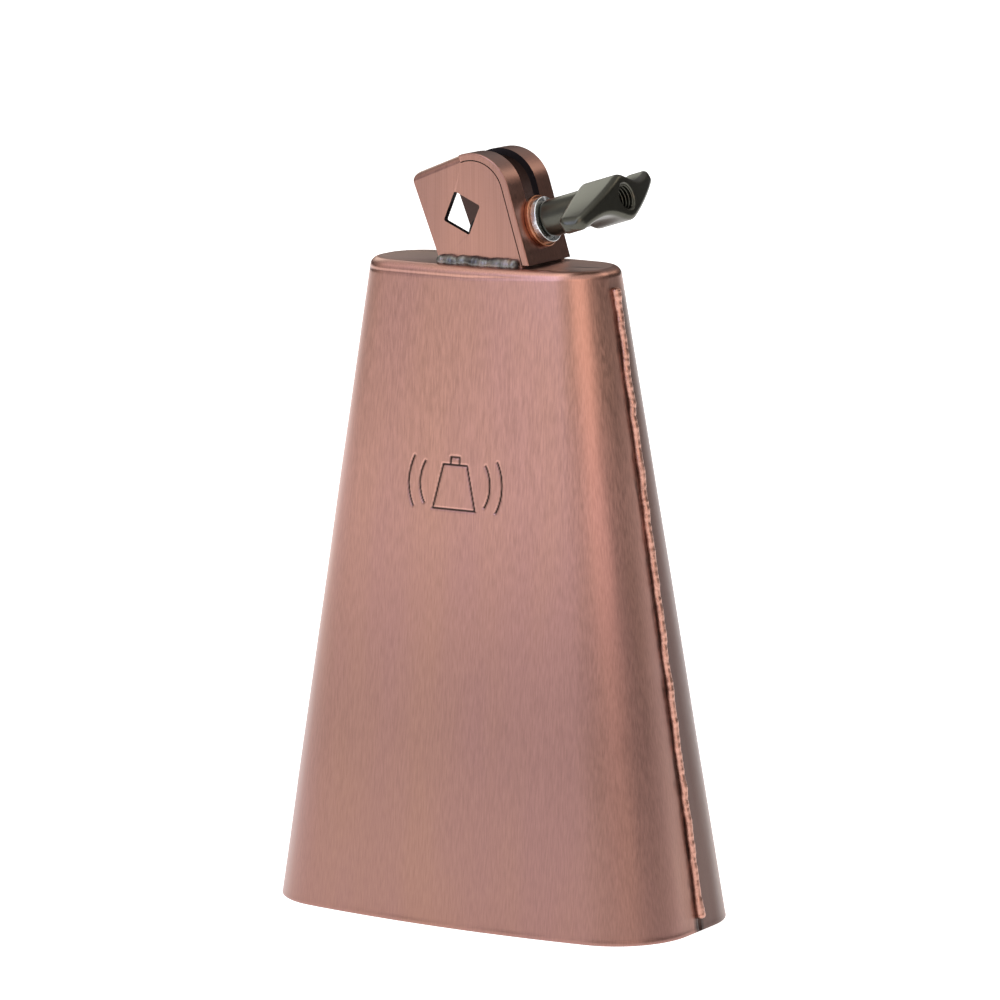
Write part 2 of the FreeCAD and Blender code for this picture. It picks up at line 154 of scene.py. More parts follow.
softbox("key_light", -13, 30, 1.15, 0.30, 0.85, 3.2, "#C6D0FF")
softbox("left_light", -64, 24, 2.0, 0.9, 1.2, 1.6, "#FFE9DA")
softbox("right_light", 50, 22, 2.0, 1.2, 1.2, 6.8, "#FFE0D0")
softbox("rear_light", -126, 28, 2.0, 0.8, 0.8, 3.0, "#FFFFF0")
softbox("wall_light", 147, 36, 2.0, 1.0, 0.6, 3.2, "#FFEEDC")
softbox("top_light", -5, 72, 1.8, 1.4, 1.4, 7.0, "#FFFFFF")

room = bpy.data.worlds.new("studio_room")
room.use_nodes = True
room_tree = room.node_tree
background = room_tree.nodes["Background"]
lit_side = toward(math.radians(4), math.radians(16))
direction = add(room_tree, "ShaderNodeTexCoord").outputs["Generated"]
facing = add(room_tree, "ShaderNodeVectorMath", {0: direction, 1: lit_side}, operation="DOT_PRODUCT")
daylight = add(room_tree, "ShaderNodeMapRange", {"Value": facing.outputs["Value"], 1: -0.25, 2: 1.0,
                                                 3: 0.07, 4: 0.58}, interpolation_type="SMOOTHSTEP")
height = add(room_tree, "ShaderNodeSeparateXYZ", {"Vector": direction})
skylight = add(room_tree, "ShaderNodeMapRange", {"Value": height.outputs["Z"], 1: 0.15, 2: 0.8, 3: 0.0,
                                                 4: 0.55}, interpolation_type="SMOOTHSTEP")
all_light = add(room_tree, "ShaderNodeMath", {0: daylight, 1: skylight}, operation="ADD")
background.inputs["Color"].default_value = colour("#FFFAF8")
room_tree.links.new(all_light.outputs[0], background.inputs["Strength"])
scene.world = room


# ---- Bell shell ----
# One sheet of mild steel, folded to a tapered box and closed over the top, welded down the middle of
# each side. It is plated antique copper, brushed along its height and lacquered.
bell_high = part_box("bell_shell")[1]
bell_height = bell_high.z
mouth = {"half_width": bell_high.x, "half_depth": bell_high.y, "corner": 26 * MM, "bow": 3.0 * MM}
crown = {"half_width": 44.8 * MM, "half_depth": 18 * MM, "corner": 14.5 * MM, "bow": 1.7 * MM}
sheet = 1.6 * MM
fold = 2.6 * MM             # outside radius of the fold round the top
rim_round = 0.4 * MM
engraved_centre = (-1.0 * MM, 145.3 * MM)
engraved_half_height = 11 * MM
engraved_pitch = 0.36 * MM  # spacing of the mesh where the mark is
engraved_depth = 0.28 * MM
stroke = 0.52 * MM          # half the width of an engraved line
broad_dent = 0.10 * MM      # half the depth of the bent sheet's broad waves
corner_dent = 0.09 * MM     # and of the finer ones along its corners
fold_mark_below = 3.6 * MM  # from the closed top down to the press mark under the fold
fold_mark_depth = 0.14 * MM
fold_mark_half = 0.42 * MM
seam_gap_depth = 0.75 * MM  # open seam between the bead's end and the rim
seam_gap_half = 0.55 * MM
seam_gap_top = 5.2 * MM
crease_from = (31.5 * MM, -1.0 * MM)    # where the crease in the closed top begins
crease_slope = 0.33
crease_half_width = 0.8 * MM
crease_half_length = 5.5 * MM
crease_depth = 0.30 * MM
sunk_corner = 0.45 * MM     # how far the top's front right corner has sunk
closing_strips = 26         # from front to back across the closed top


def spread(start, end, step):
    """Evenly spaced values from start to end, no further apart than step."""
    return list(np.linspace(start, end, max(2, math.ceil(abs(end - start) / step) + 1)))


def smooth(value):
    """0 below 0, 1 above 1, and an S-curve between."""
    value = np.clip(value, 0.0, 1.0)
    return value * value * (3 - 2 * value)


def quarter(z, inset):
    """Front right quarter of the bell's section: bow, corner arc and side, tangent to each other."""
    share = z / bell_height
    size = {key: mouth[key] + (crown[key] - mouth[key]) * share for key in mouth}
    flat = size["half_width"] - size["corner"]
    bow_radius = (flat ** 2 + size["bow"] ** 2) / (2 * size["bow"])
    bow_centre = size["half_depth"] - bow_radius
    corner_centre = bow_centre + math.sqrt((bow_radius - size["corner"]) ** 2 - flat ** 2)
    turn = math.asin(flat / (bow_radius - size["corner"]))
    points = []
    for t in bow_steps:
        angle = turn * t
        points.append(((bow_radius - inset) * math.sin(angle),
                       bow_centre + (bow_radius - inset) * math.cos(angle)))
    for t in corner_steps:
        angle = turn + (math.pi / 2 - turn) * t
        radius = size["corner"] - inset
        points.append((flat + radius * math.sin(angle), corner_centre + radius * math.cos(angle)))
    for t in side_steps:
        points.append((size["half_width"] - inset, corner_centre * t))
    return points


def section(z, inset):
    """The whole section, once round from the middle of the front: (x, y, z) points."""
    part = quarter(z, inset)
    front_right = [(x, -y, z) for x, y in part]
    rear_right = [(x, y, z) for x, y in reversed(part[:-1])]
    rear_left = [(-x, y, z) for x, y in part[1:]]
    front_left = [(-x, -y, z) for x, y in reversed(part[1:-1])]
    return front_right + rear_right + rear_left + front_left


bow_steps = spread(0, 0.63, 0.0095)[:-1] + spread(0.63, 1, 0.03)
corner_steps = spread(0, 1, 0.045)[1:]
side_steps = spread(1, 0.3, 0.1)[1:-1] + spread(0.3, 0, 0.03)
side_steps = [t for t in side_steps if t > 1e-9] + [0.0]
around = len(section(0, 0))
mark_z = engraved_centre[1]
heights = ([rim_round, 1.2 * MM, 2.4 * MM, 3.6 * MM]
           + spread(5 * MM, mark_z - engraved_half_height, 4 * MM)[:-1]
           + spread(mark_z - engraved_half_height, mark_z + engraved_half_height, engraved_pitch)[:-1]
           + spread(mark_z + engraved_half_height, 209 * MM, 4 * MM)[:-1]
           + spread(209 * MM, bell_height - fold, 0.4 * MM)[:-1])


def to_segment(x, z, start, end):
    """Distance from points to a straight stroke."""
    run = np.subtract(end, start)
    t = np.clip(((x - start[0]) * run[0] + (z - start[1]) * run[1]) / (run @ run), 0, 1)
    return np.hypot(x - start[0] - t * run[0], z - start[1] - t * run[1])


def to_arc(x, z, radius, half_span, side):
    """Distance from points to an arc about the mark's middle, on its left (-1) or right (1)."""
    angle = np.clip(np.arctan2(z, side * x), -half_span, half_span)
    return np.hypot(side * x - radius * np.cos(angle), z - radius * np.sin(angle))


def to_mark(x, z):
    """Distance to the engraved mark: an outlined bell with two sound waves on each side."""
    x = x - engraved_centre[0]
    z = z - mark_z
    outline = [(-8.2 * MM, -8.4 * MM), (8.2 * MM, -8.4 * MM), (4.6 * MM, 6.2 * MM),
               (-4.6 * MM, 6.2 * MM)]
    strokes = [to_segment(x, z, a, b) for a, b in zip(outline, outline[1:] + outline[:1])]
    handle = [(-1.7 * MM, 6.2 * MM), (-1.7 * MM, 8.8 * MM), (1.7 * MM, 8.8 * MM), (1.7 * MM, 6.2 * MM)]
    strokes += [to_segment(x, z, a, b) for a, b in zip(handle, handle[1:])]
    for side in (-1, 1):
        strokes.append(to_arc(x, z, 13.5 * MM, math.radians(30), side))
        strokes.append(to_arc(x, z, 18.0 * MM, math.radians(27), side))
    return np.min(strokes, axis=0)


def pressed_in(points):
    """Depth of the engraving, dents and grooves of the outer surface, and how dark each point is."""
    x, y, z = points.T
    front = y < -10 * MM
    cut = np.where(front, smooth((stroke - to_mark(x, z)) / (0.6 * stroke)), 0.0)
    share = z / bell_height
    corner_x = mouth["half_width"] + (crown["half_width"] - mouth["half_width"]) * share
    corner = smooth((np.abs(x) / corner_x - 0.62) / 0.2) * smooth((np.abs(y) - 4 * MM) / (5 * MM))
    wave = np.array([noise.noise(Vector((px / (24 * MM), py / (24 * MM), pz / (95 * MM))))
                     for px, py, pz in points])
    fine = np.array([noise.noise(Vector((px / (5 * MM), py / (5 * MM), pz / (120 * MM))))
                     for px, py, pz in points])
    dent = broad_dent * (wave + 0.6) + corner_dent * corner * (fine + 0.6)
    line_z = bell_height - fold_mark_below + np.clip(x, 0, 40 * MM) * 0.05
    groove = np.exp(-((z - line_z) / fold_mark_half) ** 2) * front
    seam = np.exp(-(y / seam_gap_half) ** 2) * smooth((seam_gap_top - z) / (1.5 * MM))
    depth = engraved_depth * cut + dent + fold_mark_depth * groove + seam_gap_depth * seam
    dark = np.clip(cut + 0.3 * groove * smooth((12 * MM - x) / (30 * MM)) + 1.2 * seam, 0, 1)
    return depth * smooth(z / (1.5 * MM) + 0.5 * (seam > 0.2)), dark


rows = [section(z, 0) for z in heights]
for step in range(9):
    turn = math.radians(90 * step / 8)
    rows.append(section(bell_height - fold + fold * math.sin(turn), fold * (1 - math.cos(turn))))
rows = [np.array(row) for row in rows]
dark_rows = []
for row in rows:
    ahead = np.roll(row, -1, axis=0)
    behind = np.roll(row, 1, axis=0)
    tangent = ahead - behind
    outward = np.stack([tangent[:, 1], -tangent[:, 0], np.zeros(around)], axis=1)
    outward /= np.linalg.norm(outward, axis=1)[:, None]
    depth, dark = pressed_in(row)
    row -= outward * depth[:, None]
    dark_rows.append(dark)
lip = [section(0.1 * MM, 0.12 * MM), section(0, rim_round), section(0, sheet - rim_round),
       section(0.1 * MM, sheet - 0.12 * MM)]
inner_heights = ([rim_round] + spread(3 * MM, bell_height - sheet - 1.5 * MM, 14 * MM)
                 + [bell_height - sheet - 0.4 * MM])
inside = [section(z, sheet) for z in inner_heights] + [section(bell_height - sheet, sheet + 0.8 * MM)]
rows = [np.array(r) for r in reversed(inside)] + [np.array(r) for r in reversed(lip)] + rows
dark_rows = [np.zeros(around)] * (len(inside) + len(lip)) + dark_rows
points = np.concatenate(rows)
dark = np.concatenate(dark_rows)
faces = []
for level in range(len(rows) - 1):
    for i in range(around):
        j = (i + 1) % around
        faces.append((level * around + i, level * around + j, (level + 1) * around + j,
                      (level + 1) * around + i))
half = around // 2


def close_end(ring_start, looks_up, points, dark, faces):
    """Closes a section with straight strips from its front half to its rear half."""
    grid = []
    new_points = []
    new_dark = []
    ring = points[ring_start:ring_start + around]
    columns = []
    for i in range(-(half // 2), half // 2 + 1):
        front = i % around
        rear = (half - i) % around
        columns.append((front, rear))
    next_index = len(points)
    for front, rear in columns:
        if front == rear:
            grid.append([ring_start + front])
            continue
        column = [ring_start + front]
        for k in range(1, closing_strips):
            t = k / closing_strips
            spot = ring[front] * (1 - t) + ring[rear] * t
            shade = 0.0
            if looks_up:
                bump = noise.noise(Vector((spot[0] / (17 * MM), spot[1] / (12 * MM), 4.0)))
                edge = smooth(min(t, 1 - t) * 6)
                along = spot[0] - crease_from[0]
                off = crease_from[1] + crease_slope * along - spot[1]
                spindle = max(0.0, 1 - ((along - 4 * MM) / crease_half_length) ** 2)
                valley = math.exp(-(off / crease_half_width) ** 2) * spindle
                sunk = smooth(off / (5 * MM)) * smooth((spot[0] - 25 * MM) / (8 * MM)) * smooth(t * 8)
                dip = 0.08 * MM * (bump + 0.6) * edge + crease_depth * valley
                spot[2] -= dip + sunk_corner * float(sunk)
                # Painted shade: the crease's valley is darkened too, through the same mark that holds
                # the patina.
                shade = min(1.0, valley)
            new_points.append(spot)
            new_dark.append(shade)
            column.append(next_index)
            next_index += 1
        column.append(ring_start + rear)
        grid.append(column)
    for a, b in zip(grid, grid[1:]):
        for k in range(closing_strips):
            if len(a) == 1:
                quad = [a[0], b[k], b[k + 1]]
            elif len(b) == 1:
                quad = [a[k], b[0], a[k + 1]]
            else:
                quad = [a[k], b[k], b[k + 1], a[k + 1]]
            faces.append(tuple(quad if looks_up else reversed(quad)))
    if new_points:
        points = np.concatenate([points, np.array(new_points)])
        dark = np.concatenate([dark, np.array(new_dark)])
    return points, dark


points, dark = close_end(0, False, points, dark, faces)
top_start = len(faces)
points, dark = close_end((len(rows) - 1) * around, True, points, dark, faces)
bell = new_piece("bell_skin", points, faces)
bell.data.shade_smooth()
shade = bell.data.attributes.new("patina", "FLOAT", "POINT")
shade.data.foreach_set("value", dark.astype(np.float32))


def brushed_copper(name, light, deep, dark_patina_and_shade_colour, lines, roughness, turned, seam_darkening_and_painted_shade):
    """Antique copper plate, brushed and lacquered.

    Fine light and dark lines run along the brushing (lines gives their size in x, y and z), over
    broad warm and cool patches, and dark patina is left where it couldn't be brushed off; the same
    mark also holds painted shade along the crease in the closed top. When seam marks are asked for,
    it is darker beside the side seams, has painted shade over the rear part of each side behind the
    seam, and is darker toward the mouth.
    """
    material, tree = new_material(name)
    place = add(tree, "ShaderNodeTexCoord").outputs["Object"]
    grain = add(tree, "ShaderNodeMapping",
                {"Vector": place, "Rotation": turned, "Scale": [1 / size for size in lines]})
    hair = add(tree, "ShaderNodeTexNoise",
               {"Vector": grain, "Scale": 1.0, "Detail": 2.0, "Roughness": 0.5})
    patch_grain = add(tree, "ShaderNodeMapping",
                      {"Vector": place, "Scale": (1 / (30 * MM), 1 / (30 * MM), 1 / (150 * MM))})
    patch = add(tree, "ShaderNodeTexNoise", {"Vector": patch_grain, "Scale": 1.0, "Detail": 2.0})
    patch_share = add(tree, "ShaderNodeMapRange", {"Value": patch, 1: 0.35, 2: 0.65})
    plate = add(tree, "ShaderNodeMix", {0: patch_share, 6: colour(light), 7: colour(deep)},
                data_type="RGBA")
    hair_share = add(tree, "ShaderNodeMapRange", {"Value": hair, 1: 0.3, 2: 0.7, 3: 0.88, 4: 1.10})
    lined = add(tree, "ShaderNodeVectorMath", {0: plate.outputs[2], 1: hair_share},
                operation="MULTIPLY")
    marks = add(tree, "ShaderNodeAttribute", attribute_name="patina")
    patina_and_painted_shade = marks.outputs["Fac"]
    if seam_darkening_and_painted_shade:
        smudge_grain = add(tree, "ShaderNodeMapping",
                           {"Vector": place, "Scale": (1 / (2 * MM), 1 / (2 * MM), 1 / (9 * MM))})
        smudge = add(tree, "ShaderNodeTexNoise", {"Vector": smudge_grain, "Scale": 1.0, "Detail": 4.0})
        axes = add(tree, "ShaderNodeSeparateXYZ", {"Vector": place})
        off_seam = add(tree, "ShaderNodeMath", {0: axes.outputs["Y"]}, operation="ABSOLUTE")
        blurred = add(tree, "ShaderNodeMath", {0: smudge, 1: -5.0 * MM, 2: off_seam},
                      operation="MULTIPLY_ADD")
        near_seam = add(tree, "ShaderNodeMapRange", {"Value": blurred, 1: -1.4 * MM, 2: 1.9 * MM,
                                                     3: 0.94, 4: 0.0}, interpolation_type="SMOOTHSTEP")
        # Painted shade: the rear part of each side, behind its seam, is darkened toward the dark
        # colour.
        behind = add(tree, "ShaderNodeMapRange", {"Value": axes.outputs["Y"], 1: -4 * MM, 2: 3 * MM,
                                                  3: 0.0, 4: 1.0}, interpolation_type="SMOOTHSTEP")
        before_back = add(tree, "ShaderNodeMapRange", {"Value": axes.outputs["Y"], 1: 12 * MM,
                                                       2: 32 * MM, 3: 0.72, 4: 0.0},
                          interpolation_type="SMOOTHSTEP")
        painted_rear_shade = add(tree, "ShaderNodeMath", {0: behind, 1: before_back}, operation="MULTIPLY")
        darker = add(tree, "ShaderNodeMath", {0: near_seam, 1: painted_rear_shade}, operation="MAXIMUM")
        below_fold = add(tree, "ShaderNodeMapRange",
                         {"Value": axes.outputs["Z"], 1: 205 * MM, 2: 212 * MM, 3: 1.0, 4: 0.3})
        kept_below = add(tree, "ShaderNodeMath", {0: darker, 1: below_fold}, operation="MULTIPLY")
        both = add(tree, "ShaderNodeMath", {0: marks.outputs["Fac"], 1: kept_below},
                   operation="MAXIMUM")
        patina_and_painted_shade = both
        darker_toward_mouth = add(tree, "ShaderNodeMapRange", {"Value": axes.outputs["Z"], 1: 55 * MM, 2: 155 * MM,
                                                 3: 0.64, 4: 1.0}, interpolation_type="SMOOTHSTEP")
        lined = add(tree, "ShaderNodeVectorMath", {0: lined, 1: darker_toward_mouth}, operation="MULTIPLY")
    darkened_plate = add(tree, "ShaderNodeMix", {0: patina_and_painted_shade, 6: lined, 7: colour(dark_patina_and_shade_colour)}, data_type="RGBA")
    rough = add(tree, "ShaderNodeMapRange",
                {"Value": hair, 1: 0.3, 2: 0.7, 3: roughness - 0.04, 4: roughness + 0.05})
    surface = add(tree, "ShaderNodeBsdfPrincipled", {"Base Color": darkened_plate.outputs[2], "Metallic": 1.0,
                                                     "Roughness": rough, "Anisotropic": 0.55,
                                                     "Coat Weight": 0.25, "Coat Roughness": 0.22})
    add(tree, "ShaderNodeOutputMaterial", {"Surface": surface})
    return material


fine_line = 0.45 * MM   # drawn coarser: the real brush marks, near 0.1 mm, are too fine to show
long_line = 110 * MM
# The sides' material carries painted shade over the rear part of each side, behind the seam.
side_copper = brushed_copper("antique_copper_plate_brushed_upright", "#B68979", "#B1857C", "#2E211D",
                             (fine_line, fine_line, long_line), 0.34, (0, 0, 0), True)
# The closed top's paler, greyer colours are painted light: the same plating as the sides, made lighter
# where light falls on the top.
painted_light_top_copper = brushed_copper("antique_copper_plate_brushed_across", "#C4A598", "#B89F96", "#2E211D",
                            (long_line, fine_line, fine_line), 0.36, (0, 0, 0), False)
bell.data.materials.append(side_copper)
bell.data.materials.append(painted_light_top_copper)
for face in bell.data.polygons[top_start:]:
    face.material_index = 1
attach(bell, "bell")
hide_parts("bell_shell")


# ---- Side weld beads ----
# The two halves of the sheet meet down the middle of each side in one run of weld. The bead was
# plated with the bell, so it is light copper between dark edges, a little fatter at its ends.


def bead_tree():
    """Geometry Nodes tree of a weld bead: a lumpy round rod kept between two corners."""
    tree = bpy.data.node_groups.new("weld_bead", "GeometryNodeTree")
    for name, kind, value in [("Start", "NodeSocketVector", (0, 0, 0)),
                              ("End", "NodeSocketVector", (0, 0, 1)),
                              ("Radius", "NodeSocketFloat", 1.4 * MM),
                              ("Ripple Spacing", "NodeSocketFloat", 2 * MM),
                              ("Ripple Depth", "NodeSocketFloat", 0.08),
                              ("Unevenness", "NodeSocketFloat", 0.2),
                              ("End Swell", "NodeSocketFloat", 0.2),
                              ("Waver", "NodeSocketFloat", 0.3 * MM),
                              ("Lowest", "NodeSocketVector", (-1, -1, -1)),
                              ("Highest", "NodeSocketVector", (1, 1, 1)),
                              ("Seed", "NodeSocketFloat", 1.0),
                              ("Material", "NodeSocketMaterial", None)]:
        socket = tree.interface.new_socket(name, in_out="INPUT", socket_type=kind)
        if value is not None:
            socket.default_value = value
    tree.interface.new_socket("Geometry", in_out="OUTPUT", socket_type="NodeSocketGeometry")
    given = add(tree, "NodeGroupInput").outputs
    line = add(tree, "GeometryNodeCurvePrimitiveLine", {"Start": given["Start"], "End": given["End"]})
    path = add(tree, "GeometryNodeResampleCurve", {"Curve": line, "Count": 800})
    spot = add(tree, "GeometryNodeInputPosition").outputs[0]
    wander = add(tree, "ShaderNodeTexNoise", {"Vector": spot, "W": given["Seed"], "Scale": 120.0,
                                              "Detail": 1.0}, noise_dimensions="4D")
    centred = add(tree, "ShaderNodeVectorMath", {0: wander.outputs["Color"], 1: (0.5, 0.5, 0.5)},
                  operation="SUBTRACT")
    shifted = add(tree, "ShaderNodeVectorMath", {0: centred, "Scale": given["Waver"]},
                  operation="SCALE")
    wavy = add(tree, "GeometryNodeSetPosition", {"Geometry": path, "Offset": shifted})
    along = add(tree, "GeometryNodeSplineParameter")
    whole = add(tree, "GeometryNodeSplineLength")
    left = add(tree, "ShaderNodeMath", {0: whole.outputs["Length"], 1: along.outputs["Length"]},
               operation="SUBTRACT")
    nearest = add(tree, "ShaderNodeMath", {0: along.outputs["Length"], 1: left}, operation="MINIMUM")
    in_radii = add(tree, "ShaderNodeMath", {0: nearest, 1: given["Radius"]}, operation="DIVIDE")
    end_share = add(tree, "ShaderNodeMath", {0: in_radii, 1: 1.0}, operation="MINIMUM")
    from_full = add(tree, "ShaderNodeMath", {0: 1.0, 1: end_share}, operation="SUBTRACT")
    squared = add(tree, "ShaderNodeMath", {0: from_full, 1: from_full}, operation="MULTIPLY")
    # a little more than 1, so that the ends never shrink to a point
    under = add(tree, "ShaderNodeMath", {0: 1.003, 1: squared}, operation="SUBTRACT")
    rounded = add(tree, "ShaderNodeMath", {0: under}, operation="SQRT")
    turns = add(tree, "ShaderNodeMath", {0: along.outputs["Length"], 1: given["Ripple Spacing"]},
                operation="DIVIDE")
    angle = add(tree, "ShaderNodeMath", {0: turns, 1: 2 * math.pi}, operation="MULTIPLY")
    wave = add(tree, "ShaderNodeMath", {0: angle}, operation="SINE")
    ripple = add(tree, "ShaderNodeMath", {0: wave, 1: given["Ripple Depth"]}, operation="MULTIPLY")
    lumps = add(tree, "ShaderNodeTexNoise", {"Vector": spot, "W": given["Seed"], "Scale": 260.0,
                                             "Detail": 3.0}, noise_dimensions="4D")
    lump = add(tree, "ShaderNodeMath", {0: lumps, 1: 0.6}, operation="SUBTRACT")
    uneven = add(tree, "ShaderNodeMath", {0: lump, 1: given["Unevenness"]}, operation="MULTIPLY")
    swell_share = add(tree, "ShaderNodeMapRange", {"Value": in_radii, 1: 1.5, 2: 7.0, 3: 1.0, 4: 0.0},
                      interpolation_type="SMOOTHSTEP")
    swell = add(tree, "ShaderNodeMath", {0: swell_share, 1: given["End Swell"]}, operation="MULTIPLY")
    first = add(tree, "ShaderNodeMath", {0: ripple, 1: uneven}, operation="ADD")
    second = add(tree, "ShaderNodeMath", {0: first, 1: swell}, operation="ADD")
    full = add(tree, "ShaderNodeMath", {0: second, 1: 1.0}, operation="ADD")
    scaled = add(tree, "ShaderNodeMath", {0: full, 1: rounded}, operation="MULTIPLY")
    ring = add(tree, "GeometryNodeCurvePrimitiveCircle", {"Resolution": 28, "Radius": given["Radius"]})
    rod = add(tree, "GeometryNodeCurveToMesh",
              {"Curve": wavy, "Profile Curve": ring, "Scale": scaled, "Fill Caps": True})
    grit = add(tree, "ShaderNodeTexNoise", {"Vector": spot, "W": given["Seed"], "Scale": 900.0,
                                            "Detail": 3.0}, noise_dimensions="4D")
    grit_centred = add(tree, "ShaderNodeVectorMath", {0: grit.outputs["Color"], 1: (0.5, 0.5, 0.5)},
                       operation="SUBTRACT")
    grit_size = add(tree, "ShaderNodeVectorMath", {0: grit_centred, "Scale": 0.22 * MM},
                    operation="SCALE")
    rough = add(tree, "GeometryNodeSetPosition", {"Geometry": rod, "Offset": grit_size})
    raised = add(tree, "ShaderNodeVectorMath", {0: spot, 1: given["Lowest"]}, operation="MAXIMUM")
    kept = add(tree, "ShaderNodeVectorMath", {0: raised, 1: given["Highest"]}, operation="MINIMUM")
    trimmed = add(tree, "GeometryNodeSetPosition", {"Geometry": rough, "Position": kept})
    smooth_faces = add(tree, "GeometryNodeSetShadeSmooth", {"Geometry": trimmed})
    real = add(tree, "GeometryNodeRealizeInstances", {"Geometry": smooth_faces})
    painted = add(tree, "GeometryNodeSetMaterial", {"Geometry": real, "Material": given["Material"]})
    add(tree, "NodeGroupOutput", {"Geometry": painted})
    return tree


def from_tree(name, tree, **values):
    """Plain mesh piece from a Geometry Nodes tree; spaces in an input's name are underscores here."""
    maker = new_piece("maker", [], [])
    modifier = maker.modifiers.new("made", "NODES")
    modifier.node_group = tree
    for item in tree.interface.items_tree:
        key = item.name.replace(" ", "_")
        if item.in_out == "INPUT" and key in values:
            modifier[item.identifier] = values[key]
    evaluated = maker.evaluated_get(bpy.context.evaluated_depsgraph_get())
    mesh = bpy.data.meshes.new_from_object(evaluated)
    mesh.name = name
    maker.modifiers.clear()
    bpy.data.objects.remove(maker)
    piece = bpy.data.objects.new(name, mesh)
    scene.collection.objects.link(piece)
    return piece


def rough_bead(name, crest, flank, spacing, roughness):
    """Plated weld metal: light and dark copper mottled in small spots, with a bump from the same spots.
    """
    material, tree = new_material(name)
    place = add(tree, "ShaderNodeTexCoord").outputs["Object"]
    spots = add(tree, "ShaderNodeTexNoise",
                {"Vector": place, "Scale": 1 / spacing, "Detail": 4.0, "Roughness": 0.7})
    share = add(tree, "ShaderNodeMapRange", {"Value": spots, 1: 0.50, 2: 0.74})
    mixed = add(tree, "ShaderNodeMix", {0: share, 6: colour(crest), 7: colour(flank)}, data_type="RGBA")
    bump = add(tree, "ShaderNodeBump", {"Height": spots, "Strength": 0.5, "Distance": 0.15 * MM})
    surface = add(tree, "ShaderNodeBsdfPrincipled", {"Base Color": mixed.outputs[2], "Metallic": 1.0,
                                                     "Roughness": roughness, "Normal": bump})
    add(tree, "ShaderNodeOutputMaterial", {"Surface": surface})
    return material


weld_bead = bead_tree()
plated_bead = rough_bead("antique_copper_plate_on_weld", "#BD9080", "#7C5A50", 1.6 * MM, 0.38)
seam_lean = math.atan2(mouth["half_width"] - crown["half_width"], bell_height)
seam_out = 0.45 * MM        # how far the bead's middle stands out of the side
bead_end = 1.45 * MM        # from the bead's end to the end of its middle line
for number, (node_name, side) in enumerate((("side_weld_right", 1), ("side_weld_left", -1))):
    bead_low, bead_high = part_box(node_name)
    low_z, high_z = bead_low.z + bead_end, bead_high.z - bead_end
    ends = []
    for z in (low_z, high_z):
        width = mouth["half_width"] + (crown["half_width"] - mouth["half_width"]) * z / bell_height
        ends.append((side * (width + seam_out / math.cos(seam_lean)), 0, z))
    bead = from_tree(node_name + "_bead", weld_bead, Start=ends[0], End=ends[1], Radius=1.35 * MM,
                     Ripple_Spacing=2.7 * MM, Ripple_Depth=0.03, Unevenness=0.36, End_Swell=0.34,
                     Waver=1.5 * MM, Lowest=(bead_low.x, -1, 0), Highest=(bead_high.x, 1, 1),
                     Seed=3.0 + number, Material=plated_bead)
    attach(bead, "bell")
    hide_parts(node_name)


# ---- Bracket ----
# One piece of 2.3 mm steel sheet, pressed to a channel and rolled over into the front wall, with a
# square rod hole in each cheek and a slot for the bolt. Brushed antique copper; the faces the brush
# never reached are nearly black, partly patina and partly painted shade of the bracket's enclosed
# inside and its hole walls.
cheek_lean = math.radians(21.5)
wall_lean = math.radians(17)
bracket_half_depth = 13 * MM
bracket_sheet = 2.3 * MM
flange_height = 35.1 * MM
crown_radius = 14.3 * MM
wall_face = 20.5 * MM
slot_half = 4.45 * MM
bolt_line = Vector((math.cos(wall_lean), 0, math.sin(wall_lean)))
flange_up = Vector((-math.sin(cheek_lean), 0, math.cos(cheek_lean)))
top_middle = Vector((0, 0, bell_height))


def softened(node_name, piece_name, width, segments, sharp):
    """Copy of a CAD node with its flat faces joined and its sharp edges broken by a small bevel."""
    mesh = bmesh.new()
    mesh.from_mesh(frame["nodes"][node_name].data)
    bmesh.ops.remove_doubles(mesh, verts=mesh.verts, dist=0.002 * MM)
    bmesh.ops.dissolve_limit(mesh, angle_limit=math.radians(0.6), verts=mesh.verts, edges=mesh.edges)
    edges = [e for e in mesh.edges if e.is_manifold and e.calc_face_angle(0) > sharp]
    bmesh.ops.bevel(mesh, geom=edges, offset=width, offset_type="OFFSET", segments=segments,
                    profile=0.5, affect="EDGES", clamp_overlap=True, harden_normals=False)
    bmesh.ops.triangulate(mesh, faces=[f for f in mesh.faces if len(f.verts) > 4])
    copied = bpy.data.meshes.new(piece_name)
    mesh.to_mesh(copied)
    mesh.free()
    piece = bpy.data.objects.new(piece_name, copied)
    scene.collection.objects.link(piece)
    return piece


def finish_modifiers(piece):
    """Replaces the piece's mesh with the result of its modifiers."""
    evaluated = piece.evaluated_get(bpy.context.evaluated_depsgraph_get())
    finished = bpy.data.meshes.new_from_object(evaluated)
    piece.modifiers.clear()
    piece.data = finished


def shade_broken_edges(piece, degrees):
    """Smooth shading that keeps flat faces flat beside their broken edges."""
    piece.data.shade_smooth()
    mesh = bmesh.new()
    mesh.from_mesh(piece.data)
    for edge in mesh.edges:
        edge.smooth = edge.calc_face_angle(0) < math.radians(degrees)
    mesh.to_mesh(piece.data)
    mesh.free()
    weighted = piece.modifiers.new("flat_faces", "WEIGHTED_NORMAL")
    weighted.keep_sharp = True
    weighted.weight = 90
    finish_modifiers(piece)


bracket = softened("bracket", "bracket_sheet", 0.28 * MM, 2, math.radians(35))
shade_broken_edges(bracket, 40)
flange_in = flange_height - crown_radius
wall_in = wall_face - crown_radius
between = math.cos(cheek_lean - wall_lean)
crown_x = (wall_in * math.cos(cheek_lean) - flange_in * math.sin(wall_lean)) / between
crown_z = (wall_in * math.sin(cheek_lean) + flange_in * math.cos(wall_lean)) / between
crown_centre = top_middle + Vector((crown_x, 0, crown_z))
face_reach = 0.6 * MM       # a face this near to an outer surface counts as part of it


def is_brushed(point, normal):
    """True on the bracket's outer faces, which the brush reached."""
    if abs(point.y) > bracket_half_depth - face_reach:
        return abs(normal.y) > 0.25 or outside_of_band(point, normal)
    if abs(normal.y) > 0.8:
        return False
    return outside_of_band(point, normal)


